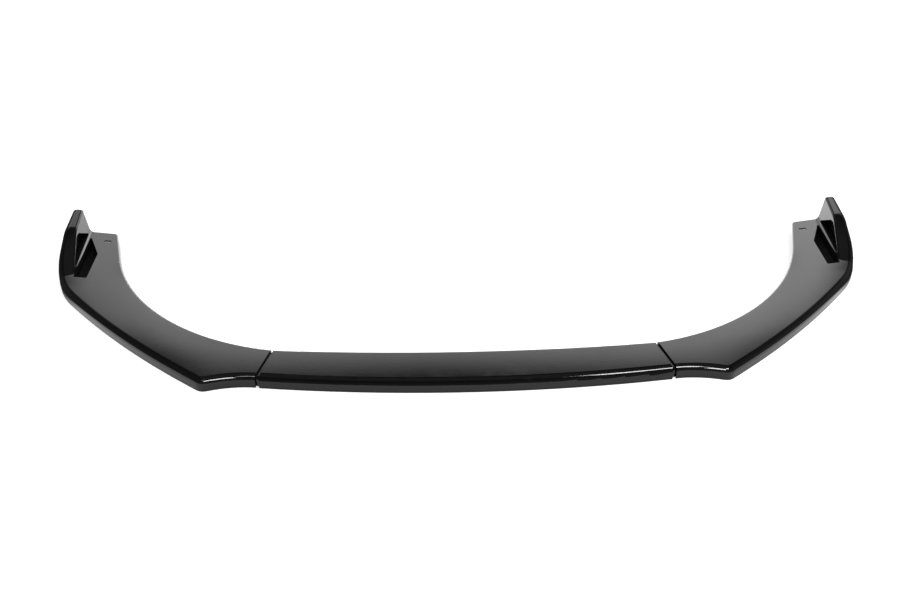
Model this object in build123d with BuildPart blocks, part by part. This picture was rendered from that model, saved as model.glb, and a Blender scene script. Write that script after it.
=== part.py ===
from build123d import *
import os
from math import atan2, cos, degrees, radians, sin, sqrt, tan

# Front splitter lip in three mouldings, in millimetres
# +X is the car's left, -Y its front, +Z up, and z = 0 is the plane of the lower rims

# Whole lip
overall_width = 1660
overall_depth = 540
lip_height = 25
wall = 3
edge_round = 3
centre_bullnose = 14
wing_bullnose = 12.5

# Centre blade seen from above: two shallow bows between splayed seams
centre_chord = 87
front_bow_radius = 2860
back_bow_radius = 3900
wing_reach_front = 454
wing_reach_back = 474
seam_gap_front = 7
seam_gap_back = 4.2
seam_break = 0.8

# Wing seen from above: hollow front, pointed corner, long sweep, elbow, side, slanted rear, curved inner edge
corner_from_side = 354
corner_from_front = 15.8
corner_radius = 22
hollow_run = 14.5
hollow_angle = -15.2
sweep_run = 42.6
sweep_angle = 37.1
elbow_from_side = 48.5
elbow_from_rear = 247
side_toe = 0.3
rear_width = 90
rear_slant = 17.5
rear_round = 10
inner_run = 98.5
inner_angle = -106.2

# Winglet: a ramp that rises from the top face, a knee and a long crest
winglet_height = 80
winglet_length = 178
ramp_angle = 25.3
crest_angle = 5.5
ramp_fan_foot = 7
ramp_fan_knee = 5
knee_radius = 70
winglet_foot = 39.5
winglet_rear = 30
winglet_lean = 6.5
ridge_round = 4.5
foot_round = 9

# Vent recesses: corners in the inner wall are along and up it from the winglet's foot
vent_jacket = 2.5
wall_vent_front = (24, 4)
wall_vent_rear = (157, 4)
wall_vent_upper_rear = (107, 36)
wall_vent_upper_front = (93, 38.5)
wall_vent_depth = 14
wall_vent_round = 2
wall_vent_upper_round = 3
top_vent_lead = 10
top_vent_skew = 5
top_vent_width = 28
top_vent_short = 90
top_vent_long = 161
top_vent_depth = 16
top_vent_ramp = 14
top_vent_round = 2
top_vent_margin_front = 0.5
top_vent_margin_rear = 5

# Joint between the centre blade and a wing: a spigot fills the seam and a tongue behind it takes the screw
joint_fit = 0.9
spigot_reach = 5.5
tongue_length = 45
tongue_width = 66
tongue_low = 1
boss_height = 6
boss_diameter = 11
pilot_depth = 7.2
screw_diameter = 4.8
screw_length = 9
screw_reach = 24
head_diameter = 9
head_height = 3
recess_width = 1.2
recess_span = 5
recess_depth = 1.6
hole_clearance = 0.7
thread_clearance = 0.1

# Ribs and the drill mark at the rear of a wing
rib_thickness = 2.2
rib_low = 8
centre_rib_count = 6
centre_rib_pitch = 110
wing_rib_count = 5
mark_length = 16
mark_width = 8
mark_depth = 0.8
mark_from_rear = 34
mark_from_side = 7

# Positions that follow from the sizes
half_width = overall_width / 2
seam_front_x = half_width - wing_reach_front
seam_back_x = half_width - wing_reach_back
front_y = -overall_depth / 2
rear_y = overall_depth / 2
foot_y = rear_y - winglet_length
tongue_top = lip_height - wall - boss_height
lean = tan(radians(winglet_lean))
toe = (winglet_foot - winglet_rear) / winglet_length
hollow_slope = 0.5 * (wing_bullnose - wall)
below = 5


def centre_front(x):
    return front_y + front_bow_radius - sqrt(front_bow_radius**2 - x**2)


def centre_back(x):
    return front_y + centre_chord + back_bow_radius - sqrt(back_bow_radius**2 - x**2)


# Seam frame: x runs outwards across the seam, y runs back along it
seam_front = Vector(seam_front_x, centre_front(seam_front_x))
seam_back = Vector(seam_back_x, centre_back(seam_back_x))
seam_along = (seam_back - seam_front).normalized()
seam_out = Vector(seam_along.Y, -seam_along.X)
seam_plane = Plane(origin=(seam_front + seam_back) / 2, x_dir=seam_out, z_dir=(0, 0, 1))
screw_place = seam_plane.location * Pos(screw_reach, 0, 0)


def angle_of(vector):
    return degrees(atan2(vector.Y, vector.X))


def heading(angle):
    return Vector(cos(radians(angle)), sin(radians(angle)))


# Wing outline: the headings at which its lines and arcs meet
corner_point = Vector(half_width - corner_from_side, front_y + corner_from_front)
elbow_start = Vector(half_width - elbow_from_side, rear_y - elbow_from_rear)
hollow_heading = heading(hollow_angle)
hollow_end = corner_point - hollow_heading * hollow_run
sweep_heading = heading(sweep_angle)
sweep_start = corner_point + sweep_heading * sweep_run
elbow_angle = 2 * angle_of(elbow_start - sweep_start) - sweep_angle
elbow_radius = (half_width - elbow_start.X) / (1 - sin(radians(elbow_angle)))
elbow_centre = elbow_start + heading(elbow_angle + 90) * elbow_radius
side_heading = heading(90 + side_toe)
side_start = elbow_centre + heading(side_toe) * elbow_radius
rear_outer = side_start + side_heading * ((rear_y - side_start.Y) / side_heading.Y)
rear_inner = rear_outer - Vector(rear_width, rear_slant)
rear_heading = rear_inner - rear_outer
inner_heading = heading(inner_angle)
inner_bend = rear_inner + inner_heading * inner_run
rear_plane = Plane(origin=rear_outer, x_dir=rear_heading * -1, z_dir=(rear_heading.Y, -rear_heading.X, 0))


def moved_in(point, heading_in, heading_out, inset):
    """Outline point moved inwards, square to the outline on both sides of it."""
    left_in = Vector(-heading_in.Y, heading_in.X).normalized()
    left_out = Vector(-heading_out.Y, heading_out.X).normalized()
    return point + (left_in + left_out) * (inset / (1 + left_in.dot(left_out)))


def wing_lines(inset):
    """Outline of a wing, moved inwards by inset, with its seam end moved out across the seam by twice that."""
    start = seam_front + seam_out * (seam_gap_front / 2 - 2 * inset)
    end = seam_back + seam_out * (seam_gap_back / 2 - 2 * inset)
    front_end = moved_in(hollow_end, hollow_heading, hollow_heading, inset)
    corner = moved_in(corner_point, hollow_heading, sweep_heading, inset)
    sweep = moved_in(sweep_start, sweep_heading, sweep_heading, inset)
    elbow = moved_in(elbow_start, heading(elbow_angle), heading(elbow_angle), inset)
    side = moved_in(side_start, side_heading, side_heading, inset)
    outer = moved_in(rear_outer, side_heading, rear_heading, inset)
    inner = moved_in(rear_inner, rear_heading, inner_heading, inset)
    bend = moved_in(inner_bend, inner_heading, inner_heading, inset)
    front = start + seam_along * inset
    back = end - seam_along * inset
    rolled = [
        TangentArc(front_end, front, tangent=hollow_heading * -1),
        FilletPolyline(front_end, corner, sweep, radius=corner_radius - inset),
        TangentArc(sweep, elbow, tangent=sweep_heading),
        TangentArc(elbow, side, tangent=heading(elbow_angle)),
        Line(side, outer),
    ]
    turned = [
        FilletPolyline(outer, inner, bend, radius=rear_round - inset),
        TangentArc(bend, back, tangent=inner_heading),
    ]
    Line(back, front)
    return [edge for line in rolled for edge in line.edges()], [edge for line in turned for edge in line.edges()]


def edges_over(part, lines, lowest, highest):
    """Edges that run above the given outline lines, between two heights."""

    def runs_above(edge):
        middle = edge.position_at(0.5)
        level = abs(edge.tangent_at(0.5).Z) < 0.7
        inside = lowest - 0.01 < middle.Z < highest + 0.01
        return level and inside and min(line.distance_to((middle.X, middle.Y, 0)) for line in lines) < 0.05

    return part.edges().filter_by(runs_above)


def upper_edges(faces):
    """Edges of the given end faces that lie in the top of a blade."""
    return faces.edges().filter_by(lambda edge: edge.position_at(0.5).Z > lip_height - edge_round)


def wall_foot(y):
    """Where the winglet's inner wall meets the level of the top face."""
    return half_width - winglet_foot + toe * (y - foot_y)


# Winglet in side view: the ramp starts inside the blade, so that it rises out of the top face
ramp_slope = tan(radians(ramp_angle))
crest_slope = tan(radians(crest_angle))
ramp_sunk = (lip_height - 2 * below) / ramp_slope
hollow_drop = wall / cos(radians(ramp_angle)) + ramp_fan_foot * ramp_slope
knee_run = (winglet_height - lip_height - winglet_length * crest_slope) / (ramp_slope - crest_slope)
wall_plane = Plane(
    origin=(wall_foot(foot_y), foot_y, lip_height),
    x_dir=(toe, 1, 0),
    z_dir=(1, -toe, -lean),
)


# The ramp fans out: it is ruled between two side views that lie well outside the winglet
fan_ends = (-4, 4)


def crest_height(y):
    return winglet_height - (rear_y - y) * crest_slope


def ramp_lines(fan):
    """Side view of the space over the ramp; fan is -1 at the inner wall and 1 at the outer side."""
    foot = Vector(foot_y - fan * ramp_fan_foot, lip_height)
    knee_y = foot_y + knee_run + fan * ramp_fan_knee
    knee = Vector(knee_y, crest_height(knee_y))
    rise = (knee - foot) / (knee.Y - lip_height)
    low = foot - rise * lip_height
    high = foot + rise * (2 * winglet_height - lip_height)
    Polyline(low, high, (foot_y - winglet_length, high.Y), (foot_y - winglet_length, low.Y), close=True)


with BuildPart() as winglet:
    with BuildSketch(Plane.YZ.offset(half_width - 2 * winglet_foot)):
        with BuildLine():
            Polyline(
                (front_y, below),
                (rear_y + below, below),
                (rear_y + below, crest_height(rear_y + below)),
                (front_y, crest_height(front_y)),
                close=True,
            )
        make_face()
    extrude(amount=3 * winglet_foot)
    for fan in fan_ends:
        with BuildSketch(Plane.YZ.offset(half_width + (fan - 1) * winglet_foot / 2)):
            with BuildLine():
                ramp_lines(fan)
            make_face()
    loft(ruled=True, mode=Mode.SUBTRACT)
    knee_middle = Vector(half_width - winglet_foot / 2, foot_y + knee_run, crest_height(foot_y + knee_run))
    fillet(winglet.edges().sort_by(lambda edge: (edge.center() - knee_middle).length)[:1], knee_radius)
    with BuildSketch():
        with BuildLine():
            wing_lines(0)
        make_face()
    extrude(amount=2 * winglet_height, mode=Mode.INTERSECT)
    split(bisect_by=wall_plane, keep=Keep.TOP)
    inner_wall = winglet.faces().sort_by(lambda f: abs(wall_plane.to_local_coords(f.center()).Z))[0]
    ridge = inner_wall.edges().filter_by(lambda e: e.position_at(0.5).Z > 3 * below and abs(e.tangent_at(0.5).Z) < 0.7)
    fillet(ridge, ridge_round)


def is_foot(edge):
    """True for an edge along the foot of the winglet's wall and ramp, and not on the outline."""
    middle = edge.position_at(0.5)
    inboard = wall_foot(middle.Y) - below < middle.X < half_width - below
    return inboard and foot_y - below < middle.Y < rear_y - 2 * below


# Hollow of the winglet, open below
with BuildPart() as winglet_hollow:
    with BuildSketch():
        with BuildLine():
            hollow_lines = wing_lines(wall)[0]
        make_face()
    extrude(amount=2 * winglet_height)
    with BuildSketch(Plane.YZ.offset(half_width - 2 * winglet_foot)):
        with BuildLine():
            FilletPolyline(
                (foot_y - ramp_sunk, -below),
                (foot_y - ramp_sunk, 2 * below - hollow_drop),
                (foot_y + knee_run, lip_height + knee_run * ramp_slope - hollow_drop),
                (rear_y + below, crest_height(rear_y + below) - hollow_drop),
                (rear_y + below, -below),
                radius=[0, 0, knee_radius, 0, 0],
                close=True,
            )
        make_face()
    extrude(amount=4 * winglet_foot, mode=Mode.INTERSECT)
    split(bisect_by=wall_plane.offset(wall), keep=Keep.TOP)
    chamfer(edges_over(winglet_hollow, hollow_lines, 2 * below, winglet_height), hollow_slope)

# Vent recess in the winglet's inner wall, and the jacket that closes it inside the hollow
wall_vent_corners = (wall_vent_front, wall_vent_rear, wall_vent_upper_rear, wall_vent_upper_front)
wall_vent_rounds = (wall_vent_round, wall_vent_round, wall_vent_upper_round, wall_vent_upper_round)

with BuildPart() as wall_recess:
    with BuildSketch(wall_plane.offset(-below)):
        with BuildLine():
            FilletPolyline(*wall_vent_corners, radius=wall_vent_rounds, close=True)
        make_face()
    extrude(amount=below + wall_vent_depth)

with BuildPart() as wall_jacket:
    with BuildSketch(wall_plane.offset(-below)):
        with BuildLine():
            Polyline(*wall_vent_corners, close=True)
        make_face()
        offset(amount=vent_jacket, kind=Kind.INTERSECTION, mode=Mode.REPLACE)
    extrude(amount=below + wall_vent_depth + vent_jacket)

# Vent recess in the top face, with a ramp down at its front end, and its jacket
vent_front = foot_y - top_vent_lead
vent_rear = vent_front + top_vent_long
vent_outer = wall_foot(vent_front) - top_vent_margin_front
top_vent_corners = (
    (vent_outer, vent_front + top_vent_skew),
    (vent_outer - top_vent_width, vent_front),
    (vent_outer - top_vent_width, vent_front + top_vent_short),
    (wall_foot(vent_rear) - top_vent_margin_rear, vent_rear),
)


def top_vent_profile(room):
    """Side view of the space over the vent's ramp and floor, with room for its jacket."""
    floor = lip_height - top_vent_depth - room
    Polyline(
        (vent_front - room, lip_height - room),
        (vent_front + top_vent_ramp, floor),
        (rear_y, floor),
        (rear_y, lip_height + below),
        (vent_front - room, lip_height + below),
        close=True,
    )


with BuildPart() as top_recess:
    with BuildSketch():
        with BuildLine():
            FilletPolyline(*top_vent_corners, radius=top_vent_round, close=True)
        make_face()
    extrude(amount=lip_height + below)
    with BuildSketch(Plane.YZ):
        with BuildLine():
            top_vent_profile(0)
        make_face()
    extrude(amount=half_width, mode=Mode.INTERSECT)

with BuildPart() as top_jacket:
    with BuildSketch():
        with BuildLine():
            Polyline(*top_vent_corners, close=True)
        make_face()
        offset(amount=vent_jacket, kind=Kind.INTERSECTION, mode=Mode.REPLACE)
    extrude(amount=lip_height + below)
    with BuildSketch(Plane.YZ):
        with BuildLine():
            top_vent_profile(vent_jacket)
        make_face()
    extrude(amount=half_width, mode=Mode.INTERSECT)

# Hollow of the wing, less the ribs, screw bosses and vent jackets that stay in it
rear_middle = (rear_outer + rear_inner) / 2
spine = Spline(seam_plane.origin, rear_middle, tangents=[seam_out, (0, 1)])


def rib_plane(share):
    return Plane(origin=spine.position_at(share), x_dir=spine.tangent_at(share), z_dir=(0, 0, 1)).offset(lip_height)


with BuildPart() as wing_hollow:
    with BuildSketch(Plane.XY.offset(-below)):
        with BuildLine():
            wing_lines(wall)
        make_face()
    extrude(amount=below + lip_height - wall)
    roof = lip_height - wall
    chamfer(edges_over(wing_hollow, hollow_lines, roof, roof), hollow_slope)
    add(winglet_hollow.part)
    with Locations(*[rib_plane(0.3 + 0.6 * step / wing_rib_count) for step in range(wing_rib_count)]):
        Box(rib_thickness, overall_depth, 2 * (lip_height - rib_low), mode=Mode.SUBTRACT)
    with Locations(screw_place * Pos(0, 0, tongue_top)):
        Cylinder(boss_diameter / 2, lip_height, align=(Align.CENTER, Align.CENTER, Align.MIN), mode=Mode.SUBTRACT)
    add(wall_jacket.part, mode=Mode.SUBTRACT)
    add(top_jacket.part, mode=Mode.SUBTRACT)

# Drill mark: a shallow scoop in the top face, near the rear inner corner
rear_along = (rear_outer - rear_inner).normalized()
mark_place = rear_inner + rear_along * mark_from_side + Vector(rear_along.Y, -rear_along.X) * mark_from_rear
mark_radius = (mark_width**2 / 4 + mark_depth**2) / (2 * mark_depth)
mark_axis = Plane(origin=mark_place, x_dir=rear_along, z_dir=(0, 0, 1)).offset(lip_height + mark_radius - mark_depth)

# Wing: blade and winglet with all edges rounded, then the hollow, the vents, the mark and the screw pilots
with BuildPart() as left_wing:
    with BuildSketch():
        with BuildLine():
            rolled_lines, turned_lines = wing_lines(0)
        make_face()
    extrude(amount=lip_height)
    chamfer(upper_edges(left_wing.faces().sort_by(Axis.X)[:1]), seam_break)
    add(winglet.part)
    foot = left_wing.edges().filter_by(lambda e: abs(e.position_at(0.5).Z - lip_height) < 0.01 and is_foot(e))
    fillet(foot, foot_round)
    fillet(edges_over(left_wing, rolled_lines, lip_height, winglet_height), wing_bullnose)
    fillet(edges_over(left_wing, turned_lines, lip_height, lip_height), edge_round)
    add(wing_hollow.part, mode=Mode.SUBTRACT)
    add(wall_recess.part, mode=Mode.SUBTRACT)
    add(top_recess.part, mode=Mode.SUBTRACT)
    with Locations(screw_place * Pos(0, 0, tongue_top)):
        Cylinder(
            (screw_diameter + thread_clearance) / 2,
            pilot_depth,
            align=(Align.CENTER, Align.CENTER, Align.MIN),
            mode=Mode.SUBTRACT,
        )
    with Locations(mark_axis):
        Cylinder(mark_radius, mark_length, rotation=(0, 90, 0), mode=Mode.SUBTRACT)

# Spigot: an open-bottomed step on the end of the centre blade that closes the seam from inside
spigot_plane = Plane(origin=seam_plane.origin, x_dir=seam_along, z_dir=seam_out)
spigot_root = seam_gap_front / 2 + wall / 2
spigot_width = (seam_back - seam_front).length - 2 * (wall + joint_fit)
spigot_top = lip_height - wall - joint_fit


def spigot_section(inset):
    """Section across the spigot, with the front of its roof cut back under the wing's rolled edge."""
    half = spigot_width / 2 - inset
    top = spigot_top - inset
    Polyline(
        (-half, tongue_low),
        (half, tongue_low),
        (half, top),
        (hollow_slope - half, top),
        (-half, top - hollow_slope),
        close=True,
    )


with BuildPart() as spigot:
    with BuildSketch(spigot_plane.offset(-spigot_root)):
        with BuildLine():
            spigot_section(0)
        make_face()
    extrude(amount=spigot_root + spigot_reach)
    with BuildSketch(spigot_plane.offset(-seam_gap_back / 2)):
        with BuildLine():
            spigot_section(wall)
        make_face()
    extrude(amount=seam_gap_back / 2 + spigot_reach - wall, mode=Mode.SUBTRACT)

# Tongue: an open-bottomed box that runs from the spigot on into the wing
tongue_span = tongue_length - spigot_reach
with BuildPart() as tongue:
    with BuildSketch(seam_plane.offset(tongue_low)):
        with Locations((spigot_reach + tongue_span / 2, 0)):
            Rectangle(tongue_span, tongue_width)
    extrude(amount=tongue_top - tongue_low)
    with BuildSketch(seam_plane.offset(tongue_low)):
        with Locations((spigot_reach + (tongue_span - wall) / 2, 0)):
            Rectangle(tongue_span - wall, tongue_width - 2 * wall)
    extrude(amount=tongue_top - wall - tongue_low, mode=Mode.SUBTRACT)
    with Locations(screw_place):
        Cylinder((screw_diameter + hole_clearance) / 2, 2 * lip_height, mode=Mode.SUBTRACT)


# Centre blade: two bows between the seam ends
def centre_lines(inset):
    front_out = seam_front - seam_out * (seam_gap_front / 2 + inset) + seam_along * inset
    back_out = seam_back - seam_out * (seam_gap_back / 2 + inset) - seam_along * inset
    front = ThreePointArc((-front_out.X, front_out.Y), (0, front_y + inset), (front_out.X, front_out.Y))
    back = ThreePointArc(
        (-back_out.X, back_out.Y), (0, front_y + centre_chord - inset), (back_out.X, back_out.Y)
    )
    Line(front.position_at(0), back.position_at(0))
    Line(front.position_at(1), back.position_at(1))
    return front.edges(), back.edges()


with BuildPart() as centre_hollow:
    with BuildSketch(Plane.XY.offset(-below)):
        with BuildLine():
            hollow_front, hollow_back = centre_lines(wall)
        make_face()
    extrude(amount=below + lip_height - wall)
    chamfer(edges_over(centre_hollow, hollow_front, roof, roof), 0.6 * (centre_bullnose - wall))
    with Locations((0, 0, lip_height)):
        with GridLocations(centre_rib_pitch, 1, centre_rib_count, 1):
            Box(rib_thickness, 2 * overall_depth, 2 * (lip_height - rib_low), mode=Mode.SUBTRACT)

with BuildPart() as centre_section:
    with BuildSketch():
        with BuildLine():
            centre_front_line, centre_back_line = centre_lines(0)
        make_face()
    extrude(amount=lip_height)
    ends = centre_section.faces().sort_by(lambda face: abs(face.center().X))[-2:]
    chamfer(upper_edges(ends), seam_break)
    fillet(edges_over(centre_section, centre_front_line, lip_height, lip_height), centre_bullnose)
    fillet(edges_over(centre_section, centre_back_line, lip_height, lip_height), edge_round)
    add(centre_hollow.part, mode=Mode.SUBTRACT)
    add(spigot.part)
    add(tongue.part)
    mirror(spigot.part, about=Plane.YZ)
    mirror(tongue.part, about=Plane.YZ)

# Joint screws: pan head below the tongue's plate, shank up into the wing's boss
screw_seat = (screw_place * Pos(0, 0, tongue_top - wall)).position
with BuildPart() as joint_screws:
    with BuildSketch(Plane(origin=screw_seat, x_dir=(1, 0, 0), z_dir=(0, -1, 0))):
        with BuildLine():
            Polyline(
                (0, screw_length),
                (0, -head_height),
                (head_diameter / 2, -head_height),
                (head_diameter / 2, 0),
                (screw_diameter / 2, 0),
                (screw_diameter / 2, screw_length),
                close=True,
            )
        make_face()
    revolve(axis=Axis(screw_seat, (0, 0, 1)))
    with Locations(screw_seat - Vector(0, 0, head_height)):
        Box(recess_width, recess_span, 2 * recess_depth, mode=Mode.SUBTRACT)
        Box(recess_span, recess_width, 2 * recess_depth, mode=Mode.SUBTRACT)
    mirror(about=Plane.YZ)

# Right wing: the mirror image
with BuildPart() as right_wing:
    mirror(left_wing.part, about=Plane.YZ)

os.makedirs("parts", exist_ok=True)
centre_section.part.label = "centre_section"
left_wing.part.label = "left_wing"
right_wing.part.label = "right_wing"
joint_screws.part.label = "joint_screws"
export_step(centre_section.part, "parts/centre_section.step")
export_step(left_wing.part, "parts/left_wing.step")
export_step(right_wing.part, "parts/right_wing.step")
export_step(joint_screws.part, "parts/joint_screws.step")
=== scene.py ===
# %% [markdown]
# A front splitter lip in gloss black
#
# The lip is three plastic mouldings: a shallow centre blade and two mirrored wings, each with an upright
# winglet. The mouldings come ready from the CAD frame, so this lesson is about finish and light. A black gloss
# part has almost no colour of its own. What we see on it is the studio, so the lacquer and the studio are made
# together.

# %% Load the frame
from math import cos, hypot, radians, sin, tan

import bpy
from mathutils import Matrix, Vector


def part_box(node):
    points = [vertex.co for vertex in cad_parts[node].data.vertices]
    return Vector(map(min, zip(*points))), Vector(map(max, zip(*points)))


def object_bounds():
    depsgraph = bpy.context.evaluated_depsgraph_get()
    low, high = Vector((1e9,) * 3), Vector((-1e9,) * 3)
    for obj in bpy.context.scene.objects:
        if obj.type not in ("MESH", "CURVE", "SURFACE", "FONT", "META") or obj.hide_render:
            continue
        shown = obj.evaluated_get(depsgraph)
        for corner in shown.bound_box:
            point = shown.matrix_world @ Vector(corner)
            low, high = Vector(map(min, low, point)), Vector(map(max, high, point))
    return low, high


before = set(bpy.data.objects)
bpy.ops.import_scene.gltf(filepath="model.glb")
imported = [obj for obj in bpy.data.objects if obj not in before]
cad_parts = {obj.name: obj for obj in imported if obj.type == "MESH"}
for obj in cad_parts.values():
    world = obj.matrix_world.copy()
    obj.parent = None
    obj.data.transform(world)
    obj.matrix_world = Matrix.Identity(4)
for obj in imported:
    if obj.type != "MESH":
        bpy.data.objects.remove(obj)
cad_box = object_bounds()
print("pieces from the frame:", sorted(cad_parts))

# %% [markdown]
# Shader sums
#
# A finish is mostly sums: a mask times a strength, one minus a mask, a bump on top of another. They could be
# wired node by node, but a formula is easier to read. So a socket is wrapped in a small class that adds a Math
# node for each sign in a formula, and every other node comes from one method.


# %% Wrap a socket and a node tree
class Wire:
    """An output socket that can stand in a formula."""

    def __init__(self, tree, socket):
        self.tree = tree
        self.socket = socket

    def combine(self, operation, first, second):
        return self.tree.add("ShaderNodeMath", {"operation": operation}, {0: first, 1: second})

    def __add__(self, other):
        return self.combine("ADD", self, other)

    def __radd__(self, other):
        return self.combine("ADD", other, self)

    def __sub__(self, other):
        return self.combine("SUBTRACT", self, other)

    def __rsub__(self, other):
        return self.combine("SUBTRACT", other, self)

    def __mul__(self, other):
        return self.combine("MULTIPLY", self, other)

    def __rmul__(self, other):
        return self.combine("MULTIPLY", other, self)

    def __abs__(self):
        return self.tree.add("ShaderNodeMath", {"operation": "ABSOLUTE"}, {0: self})


class Tree:
    """A node tree that grows by one method."""

    def __init__(self, node_tree):
        self.nodes = node_tree.nodes
        self.links = node_tree.links

    def feed(self, node, inputs):
        """Numbers and colours are set on the node's own sockets, and wires are linked to them."""
        for name, value in inputs.items():
            if isinstance(value, Wire):
                self.links.new(value.socket, node.inputs[name])
            else:
                node.inputs[name].default_value = value

    def add(self, kind, settings=None, inputs=None, output=0):
        node = self.nodes.new(kind)
        for name, value in (settings or {}).items():
            setattr(node, name, value)
        self.feed(node, inputs or {})
        return Wire(self, node.outputs[output])

    def split(self, vector):
        """The x, y and z of a vector."""
        node = self.add("ShaderNodeSeparateXYZ", inputs={"Vector": vector}).socket.node
        return [Wire(self, socket) for socket in node.outputs]

    def ramp_between(self, value, low, high):
        """0 below low, 1 above high and a smooth rise between them."""
        inputs = {"Value": value, "From Min": low, "From Max": high}
        return self.add("ShaderNodeMapRange", {"interpolation_type": "SMOOTHSTEP"}, inputs)

    def mix_colours(self, share, first, second):
        """The first colour where share is 0, the second where it is 1."""
        inputs = {"Factor": share, 6: first, 7: second}
        return self.add("ShaderNodeMix", {"data_type": "RGBA"}, inputs, output=2)


def new_finish(name):
    """A new material, its tree and its shader."""
    material = bpy.data.materials.new(name)
    material.use_nodes = True
    tree = Tree(material.node_tree)
    return material, tree, tree.nodes["Principled BSDF"]


print("shader helpers ready:", Wire.__name__, "and", Tree.__name__)

# %% [markdown]
# Where the vents are
#
# The two vents on each wing are given a dark, dull finish inside. It is partly the bare plastic where the spray
# gun didn't reach, and partly painted shade: it is darker and less glossy than the lacquer, so it stands in for
# the shade deep in the recesses. The vents could be masked by hand-painted maps. Their outlines are known
# straight lines, so it is simpler to test which side of each line a point lies on. The sizes are those of the
# part, in metres, and both wings share them because the sideways place is taken without its sign.

# %% Set the winglet's inner wall and the outlines on it and beside it
half_width = cad_box[1][0]
lip_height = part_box("centre_section")[1][2]
ramp_start = 0.092
wall_from_side = 0.0395
wall_toe = 0.0534
wall_lean = tan(radians(6.5))
wall_foot = Vector((half_width - wall_from_side, ramp_start, lip_height))
wall_vent = [(0.024, 0.004), (0.157, 0.004), (0.107, 0.036), (0.093, 0.0385)]


def wall_place(y):
    """Sideways place of the wall's foot."""
    return wall_foot.x + wall_toe * (y - wall_foot.y)


top_vent_width = 0.028
top_vent_short = 0.090
top_vent_long = 0.161
top_vent_skew = 0.005
top_vent_lead = 0.010
top_vent_margin_front = 0.0005
top_vent_margin_rear = 0.005
top_vent_front = ramp_start - top_vent_lead
top_vent_rear = top_vent_front + top_vent_long
top_vent_outer = wall_place(top_vent_front) - top_vent_margin_front
top_vent_inner = top_vent_outer - top_vent_width
top_vent = [
    (top_vent_outer, top_vent_front + top_vent_skew),
    (wall_place(top_vent_rear) - top_vent_margin_rear, top_vent_rear),
    (top_vent_inner, top_vent_front + top_vent_short),
    (top_vent_inner, top_vent_front),
]

rear_edge = Vector((0.090, 0.0175))
mark_centre = Vector((0.7528, 0.2205))
mark_length = 0.016
mark_width = 0.008
mark_along = rear_edge.normalized() * mark_length
mark_across = rear_edge.orthogonal().normalized() * mark_width
mark_signs = [(-0.5, -0.5), (0.5, -0.5), (0.5, 0.5), (-0.5, 0.5)]
drill_mark = [tuple(mark_centre + mark_along * a + mark_across * b) for a, b in mark_signs]
print("corners of the wall vent, top vent and mark:", len(wall_vent), len(top_vent), len(drill_mark))

# %% Test for the vents
rim_outside = (-0.0008, -0.0003)
skin = (0.0004, 0.0014)
behind_wall_vent = (0.0155, 0.017)


def inside(tree, across, along, corners):
    """1 within a convex outline given anticlockwise, 0 outside it."""
    mask = 1
    for (a, b), (c, d) in zip(corners, corners[1:] + corners[:1]):
        distance = ((along - b) * (c - a) - (across - a) * (d - b)) * (1 / hypot(c - a, d - b))
        mask = tree.ramp_between(distance, *rim_outside) * mask
    return mask


def vent_mask(tree, x, y, z):
    """1 on the walls and floors of the vents."""
    sideways = abs(x)
    below_top = tree.ramp_between(lip_height - z, *skin)
    in_top = inside(tree, sideways, y, top_vent) * below_top

    across = Vector((1, -wall_toe, -wall_lean)).normalized()
    along = Vector((wall_toe, 1, 0)).normalized()
    up = across.cross(along)
    offset = (sideways - wall_foot.x, y - wall_foot.y, z - wall_foot.z)
    u, v, depth = (sum(o * axis for o, axis in zip(offset, way)) for way in (along, up, across))
    in_depth = tree.ramp_between(depth, *skin) * (1 - tree.ramp_between(depth, *behind_wall_vent))
    in_wall = inside(tree, u, v, wall_vent) * in_depth
    return in_top + in_wall - in_top * in_wall


# Below this depth the vent walls and floors get the dark, dull finish: bare plastic, and painted shade for the
# recesses.
print("in the vents the lacquer ends", skin[0] * 1000, "to", skin[1] * 1000, "mm below the face")

# %% [markdown]
# The crown of the level faces
#
# The level faces seem very slightly crowned, as moulded skins often are: the light in them fades from one edge
# to the other. The crown could be modelled, but the CAD faces stay flat because they are what the lip is fitted
# by. It is a millimetre or two, so a bump height in metres gives its shading and leaves the mesh alone.

# %% Set the crowns
front_edge = cad_box[0][1]
front_bow_radius = 2.86
centre_crown_line = 0.045
centre_crown_radius = 1.8
wing_arc_centre = (0.2686, 0.2867)
wing_arc_radius = 0.4967
wing_crown_outer_radius = 0.42
wing_crown_inner_radius = 0.3
crown_grows = (0.42, 0.62)
crown_fades = (0.05, 0.15)


def centre_crown(x, y):
    """Height of the centre blade's crown, across the blade from its bowed front edge."""
    from_front = y - front_edge - x * x * (0.5 / front_bow_radius)
    rise = from_front - centre_crown_line
    return rise * rise * (-0.5 / centre_crown_radius)


def wing_crown(x, y):
    """Height of a wing's crown, across an arc along the blade, fading out before the winglet."""
    tree = x.tree
    right = abs(x) - wing_arc_centre[0]
    back = y - wing_arc_centre[1]
    reach = tree.add("ShaderNodeMath", {"operation": "SQRT"}, {0: right * right + back * back})
    outer = tree.add("ShaderNodeMath", {"operation": "MAXIMUM"}, {0: reach - wing_arc_radius, 1: 0})
    inner = tree.add("ShaderNodeMath", {"operation": "MINIMUM"}, {0: reach - wing_arc_radius, 1: 0})
    from_seam = 0.25 + 0.75 * tree.ramp_between(abs(x), *crown_grows)
    before_winglet = 1 - tree.ramp_between(y, *crown_fades)
    outer_fall = outer * outer * (-0.5 / wing_crown_outer_radius)
    inner_fall = inner * inner * (-0.5 / wing_crown_inner_radius)
    return (outer_fall + inner_fall) * (from_seam * before_winglet)


print("front edge at", round(front_edge, 4), "m, top face at", round(lip_height, 4), "m")

# %% [markdown]
# Black lacquer on ABS
#
# The show side is sprayed with black lacquer. It is smooth, but never a mirror: the spray dries to a fine
# orange peel, hands leave a faint haze, and a little dust settles on the level faces. A plain glossy shader
# would be quicker, but its reflections would be too clean. So noise makes the peel, haze and dust, and a mask
# makes the drill mark dull. The underside is bare plastic with a fine moulded grain.

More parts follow.
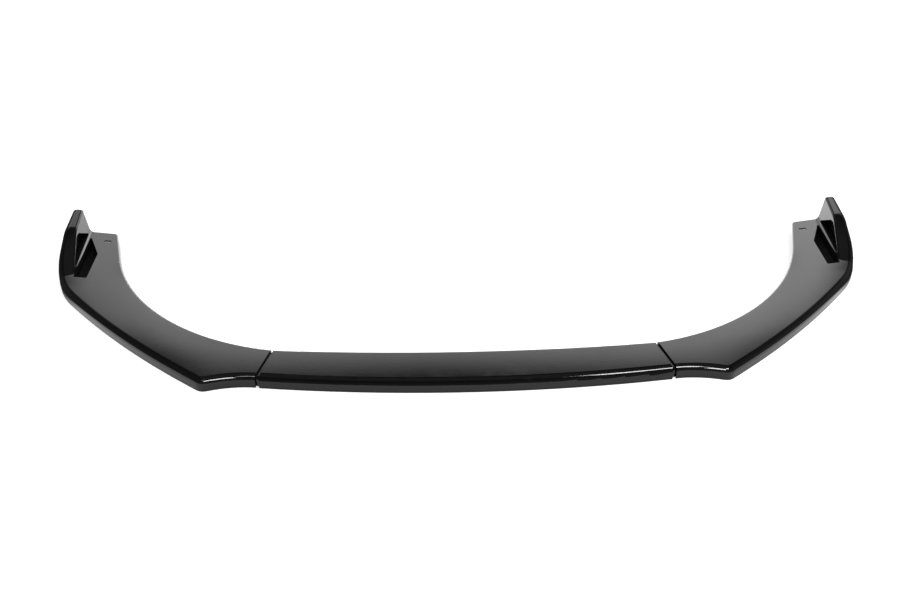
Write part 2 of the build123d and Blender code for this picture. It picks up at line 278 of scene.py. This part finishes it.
# %% Make the lacquer
lacquer_black = (0.002, 0.002, 0.0022, 1)
dust_grey = (0.16, 0.16, 0.155, 1)
# Black of the bare plastic in the vents, kept darker than the lacquer as painted shade for the recesses.
vent_bare_and_shade_black = (0.0015, 0.0015, 0.0015, 1)
lacquer_roughness = 0.07
underside_roughness = 0.55


def dust_specks(tree, place, level):
    """1 on a few specks of dust on level faces."""
    specks = tree.add("ShaderNodeTexVoronoi", inputs={"Vector": place, "Scale": 160}, output="Distance")
    chance = tree.add("ShaderNodeTexNoise", inputs={"Vector": place, "Scale": 75, "Detail": 1})
    return (1 - tree.ramp_between(specks, 0.04, 0.1)) * tree.ramp_between(chance, 0.6, 0.7) * level


def black_lacquer(name, crown):
    material, tree, shader = new_finish(name)
    place = tree.add("ShaderNodeNewGeometry", output="Position")
    facing = tree.add("ShaderNodeNewGeometry", output="Normal")
    x, y, z = tree.split(place)
    upward = tree.split(facing)[2]
    underside = tree.ramp_between(0 - upward, 0.3, 0.6)
    level = tree.ramp_between(upward, 0.8, 0.98)

    haze_inputs = {"Vector": place, "Scale": 22, "Detail": 4, "Roughness": 0.6}
    haze = tree.ramp_between(tree.add("ShaderNodeTexNoise", inputs=haze_inputs), 0.42, 0.72)
    dust = dust_specks(tree, place, level)
    scuff = inside(tree, abs(x), y, drill_mark) * level
    smooth = lacquer_roughness + 0.08 * haze + 0.2 * dust + 0.35 * scuff
    roughness = smooth * (1 - underside) + underside_roughness * underside

    peel = tree.add("ShaderNodeTexNoise", inputs={"Vector": place, "Scale": 260, "Detail": 1.5})
    flow = tree.add("ShaderNodeTexNoise", inputs={"Vector": place, "Scale": 9, "Detail": 2})
    grain = tree.add("ShaderNodeTexNoise", inputs={"Vector": place, "Scale": 1400, "Detail": 2})
    relief = (peel * 0.35 + flow * 0.65) * (1 - underside) + grain * 0.6 * underside
    crowned = tree.add("ShaderNodeBump", inputs={"Height": crown(x, y), "Strength": 1, "Distance": 1})
    relief_inputs = {"Height": relief, "Strength": 0.25, "Distance": 0.0004, "Normal": crowned}
    bump = tree.add("ShaderNodeBump", inputs=relief_inputs)
    shade = tree.mix_colours(dust * 0.2, lacquer_black, dust_grey)
    tree.feed(shader, {"Base Color": shade, "Roughness": roughness, "Normal": bump, "IOR": 1.5})

    # The vents get a dark, dull shader in place of the lacquer: bare plastic, and painted shade for the
    # recesses.
    vent_bare_and_shade_inputs = {"Base Color": vent_bare_and_shade_black, "Roughness": 0.85, "Specular IOR Level": 0.1}
    vent_bare_and_shade = tree.add("ShaderNodeBsdfPrincipled", inputs=vent_bare_and_shade_inputs)
    lacquered = Wire(tree, shader.outputs["BSDF"])
    both = tree.add("ShaderNodeMixShader", inputs={0: vent_mask(tree, x, y, z), 1: lacquered, 2: vent_bare_and_shade})
    tree.feed(tree.nodes["Material Output"], {"Surface": both})
    return material


def dress(name, material):
    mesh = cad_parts[name].data
    mesh.materials.clear()
    mesh.materials.append(material)


centre_lacquer = black_lacquer("centre_lacquer", centre_crown)
wing_lacquer = black_lacquer("wing_lacquer", wing_crown)
dress("centre_section", centre_lacquer)
dress("left_wing", wing_lacquer)
dress("right_wing", wing_lacquer)
print("lacquer nodes:", len(centre_lacquer.node_tree.nodes), "and", len(wing_lacquer.node_tree.nodes))

# %% [markdown]
# Zinc on the screws
#
# The joint screws sit under the lip, so they are seen only from below. Zinc plate is a soft grey metal with a
# mottled sheen. An even grey would do at this size, but a coarse noise in colour and roughness costs little.


# %% Make the zinc
def zinc_plate():
    material, tree, shader = new_finish("zinc_plate")
    place = tree.add("ShaderNodeTexCoord", output="Object")
    mottle = tree.add("ShaderNodeTexNoise", inputs={"Vector": place, "Scale": 700, "Detail": 3})
    shade = tree.mix_colours(mottle, (0.42, 0.43, 0.44, 1), (0.68, 0.69, 0.72, 1))
    tree.feed(shader, {"Base Color": shade, "Metallic": 1.0, "Roughness": 0.25 + 0.25 * mottle})
    return material


zinc = zinc_plate()
dress("joint_screws", zinc)
print("zinc nodes:", len(zinc.node_tree.nodes))

# %% [markdown]
# The white studio
#
# The lip lies on a white sweep, and black gloss shows what is behind and above it. Real cards and backdrops
# could stand round the lip, but they would show in other views. So the world and the floor answer each kind of
# ray by itself. The camera sees white. Mirror rays see a bright sweep behind the lip that ends in a dark
# ceiling, a little brighter on the right, and a dark room on the camera's side. All other rays that reach the
# world meet an even white, so the paint is lit at a plain level. The floor is lifted for the camera so that it
# stays white. For mirror rays it is brighter behind the lip and dark beyond the wings, as if black cards lay
# there.

# %% Make the world
plain_level = 0.9
room_glow = 0.05
sweep_glow = 2.05
sweep_top = (0.555, 0.69)
sweep_start = (0.42, 0.8)
sweep_sides = (0.39, 0.64)
low_band = (0.36, 0.46)
ceiling = (0.85, 0.97)


def make_world():
    world = bpy.data.worlds.new("white_sweep")
    bpy.context.scene.world = world
    world.use_nodes = True
    tree = Tree(world.node_tree)
    side, back, height = tree.split(tree.add("ShaderNodeTexCoord", output="Generated"))
    sweep = 1 - tree.ramp_between(height - 0.09 * abs(side), *sweep_top)
    behind = tree.ramp_between(back, *sweep_start) * (1 - tree.ramp_between(abs(side), *sweep_sides))
    low = 1 - tree.ramp_between(height, *low_band)
    overhead = 0.12 * tree.ramp_between(height, *ceiling)
    bright = sweep_glow * sweep * (0.02 + behind) * (1 + 0.5 * side) * (1 + 1.2 * low)
    glow = room_glow + overhead + bright
    seen = tree.add("ShaderNodeLightPath", output="Is Camera Ray")
    mirrored = tree.add("ShaderNodeLightPath", output="Is Glossy Ray")
    strength = seen + mirrored * glow + (1 - seen - mirrored) * plain_level
    tree.feed(tree.nodes["Background"], {"Color": (1, 1, 1, 1), "Strength": strength})
    return world


world = make_world()
print("world nodes:", len(world.node_tree.nodes))

# %% Make the floor
floor_size = 30
floor_drop = 0.0004
floor_white = 0.86
floor_lift = 0.5
past_wings = (0.76, 0.83)
behind_lip = (-0.1, 0.45)
beside_centre = (0.45, 0.7)


def make_floor():
    bpy.ops.mesh.primitive_plane_add(size=floor_size, location=(0, 0, -floor_drop))
    floor = bpy.context.object
    floor.name = "floor"
    material, tree, shader = new_finish("white_floor")
    seen = tree.add("ShaderNodeLightPath", output="Is Camera Ray")
    mirrored = tree.add("ShaderNodeLightPath", output="Is Glossy Ray")
    x, y = tree.split(tree.add("ShaderNodeNewGeometry", output="Position"))[:2]
    beyond = tree.ramp_between(abs(x), *past_wings)
    behind = tree.ramp_between(y, *behind_lip) * (1 - beyond)
    beside = tree.ramp_between(abs(x), *beside_centre) * (1 - beyond) * (1 - behind)
    tone = floor_white - 0.8 * mirrored * beyond
    lift = seen * floor_lift + mirrored * (behind * (1.2 + 0.7 * x) + beside * 0.4)
    tree.feed(shader, {"Base Color": tone, "Roughness": 0.7, "Specular IOR Level": 0.1})
    tree.feed(shader, {"Emission Color": lift, "Emission Strength": 1})
    floor.data.materials.append(material)
    return floor


floor = make_floor()
print("floor is", floor.dimensions.x, "m wide")

# %% [markdown]
# Four softboxes
#
# White lines run along the rolled front edge near each seam and round the front corners. They are mirror
# images of four softboxes over the camera. The upper two stand to its sides, and the lower two stand behind it,
# so that the lip sees them at a lower angle. Point lamps would be simpler, but only a lamp with a real size
# draws a real highlight. In a studio, flags keep a softbox off the pieces it isn't meant for. Light linking is
# the same thing here: three of the boxes light one wing each, so the middle of the centre blade stays dark.

# %% Make the lamps
lamp_aim_y = -0.25


def softbox(name, place, size, power, only=None):
    """A rectangular lamp aimed at the lip's front edge, kept off all but one piece if that is named."""
    data = bpy.data.lights.new(name, "AREA")
    data.shape = "RECTANGLE"
    data.size, data.size_y = size
    data.energy = power
    lamp = bpy.data.objects.new(name, data)
    bpy.context.scene.collection.objects.link(lamp)
    lamp.location = place
    aim = Vector((place[0] / 3, lamp_aim_y, 0)) - lamp.location
    lamp.rotation_euler = aim.to_track_quat("-Z", "Y").to_euler()
    if only:
        lit = bpy.data.collections.new(name + "_lights")
        lit.objects.link(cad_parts[only])
        lamp.light_linking.receiver_collection = lit


softbox("upper_right", (1.28, -1.55, 2.45), (0.75, 0.5), 30)
softbox("upper_left", (-1.15, -1.55, 2.45), (0.5, 0.2), 4, "right_wing")
softbox("lower_right", (0.45, -2.9, 2.55), (0.8, 0.8), 50, "left_wing")
softbox("lower_left", (-0.5, -2.9, 2.45), (0.8, 0.7), 44, "right_wing")

# %% [markdown]
# The camera
#
# The picture is taken from the front, looking down by about 36 degrees and turned 2 degrees. The camera could
# be placed by eye. Its lens and place were worked out from points that mirror each other on the lip instead, so
# they are plain numbers here.

# %% Make the camera
image_width = 920
focal_pixels = 1000
look_down = radians(35.89)
turn = radians(1.95)
camera_place = (-0.0596, -1.6234, 1.1693)
camera_data = bpy.data.cameras.new("camera")
camera_data.sensor_width = 36
camera_data.lens = focal_pixels / image_width * camera_data.sensor_width
camera = bpy.data.objects.new("camera", camera_data)
bpy.context.scene.collection.objects.link(camera)
camera.location = camera_place
aim = Vector((cos(look_down) * sin(turn), cos(look_down) * cos(turn), -sin(look_down)))
camera.rotation_euler = aim.to_track_quat("-Z", "Y").to_euler()
bpy.context.scene.camera = camera
bpy.context.scene.view_settings.view_transform = "Standard"
print("lens", round(camera_data.lens, 2), "mm")
